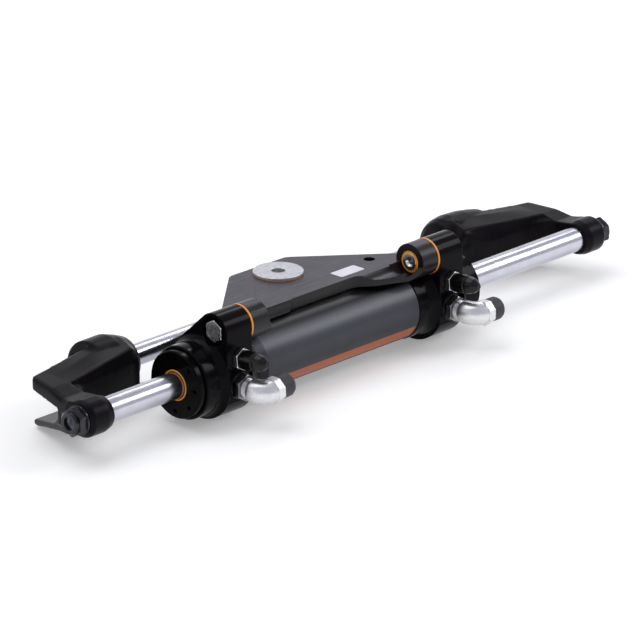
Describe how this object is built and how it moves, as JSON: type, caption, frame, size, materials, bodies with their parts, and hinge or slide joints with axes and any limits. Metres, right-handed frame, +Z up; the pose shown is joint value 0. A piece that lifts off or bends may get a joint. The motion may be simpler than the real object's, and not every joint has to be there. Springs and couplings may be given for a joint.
{
  "type": "hydraulic steering cylinder",
  "caption": "Front-mount hydraulic steering cylinder: a cylinder sliding on a fixed rod held by two channel brackets, with a support rod and a hinged tiller plate.",
  "frame": {"origin": "on the support rod's axis, midway between the two brackets", "axes": "+X along both rods, to the side with more rod showing; +Y away from the hose fittings; +Z up"},
  "size_m": [0.5552, 0.1489, 0.0807],
  "materials": {
    "chrome_rod": "polished hard chrome",
    "black_casting": "semi-gloss black anodised aluminium",
    "barrel_coat": "dark grey printed sleeve with one orange stripe",
    "bare_metal": "machined",
    "plain_steel": "plain stainless",
    "washer_steel": "satin",
    "dark_steel": "dark, slightly polished",
    "cast_fitting": "cast, bright",
    "orange_polymer": "satin orange",
    "cap_rubber": "glossy black rubber",
    "cap_polymer": "dark grey, matt",
    "dark_rubber": "plain"
  },
  "bodies": {
    "frame": {"piston_rod": "chrome_rod", "piston": "bare_metal", "piston_seal": "dark_rubber", "piston_clips": "plain_steel", "support_rod": "chrome_rod", "bracket_left": "black_casting", "bracket_right": "black_casting", "rod_nut_left": "dark_steel", "rod_nut_right": "dark_steel", "support_nut_left": "dark_steel", "support_nut_right": "dark_steel"},
    "rod_seals": {"rod_wiper_left": "orange_polymer", "rod_wiper_right": "orange_polymer", "rod_seal_left": "dark_rubber", "rod_seal_right": "dark_rubber"},
    "cylinder": {"end_block_left": "black_casting", "end_block_right": "black_casting", "gland_left": "black_casting", "gland_right": "black_casting", "gland_ring_left": "dark_rubber", "gland_ring_right": "dark_rubber", "pivot_bolt_left": "plain_steel", "pivot_bolt_right": "plain_steel", "barrel": "barrel_coat", "bleeder_left": "plain_steel", "bleeder_right": "plain_steel", "bleeder_cap_left": "cap_rubber", "bleeder_cap_right": "cap_rubber", "port_seal_left": "dark_rubber", "port_seal_right": "dark_rubber", "jam_nut_left": "plain_steel", "jam_nut_right": "plain_steel", "elbow_left": "cast_fitting", "elbow_right": "cast_fitting", "port_cap_left": "cap_polymer", "port_cap_right": "cap_polymer"},
    "plate": {"pivot_plate": "black_casting", "tiller_bushing": "orange_polymer", "tiller_washer": "washer_steel", "thrust_bushing_left": "orange_polymer", "thrust_bushing_right": "orange_polymer", "pivot_bushing_left": "orange_polymer", "pivot_bushing_right": "orange_polymer"}
  },
  "joints": [
    {"name": "steer_slide", "type": "slide", "parent": "frame", "child": "rod_seals", "axis": [1, 0, 0], "range_m": [-0.0653, 0.1311]},
    {"name": "cylinder_swing", "type": "hinge", "parent": "rod_seals", "child": "cylinder", "pos_m": [-0.0329, -0.066, 0.002], "axis": [1, 0, 0], "range_deg": [-12, 30]},
    {"name": "plate_pivot", "type": "hinge", "parent": "cylinder", "child": "plate", "pos_m": [-0.0329, -0.08, 0.0385], "axis": [1, 0, 0], "range_deg": [0, 120]}
  ]
}
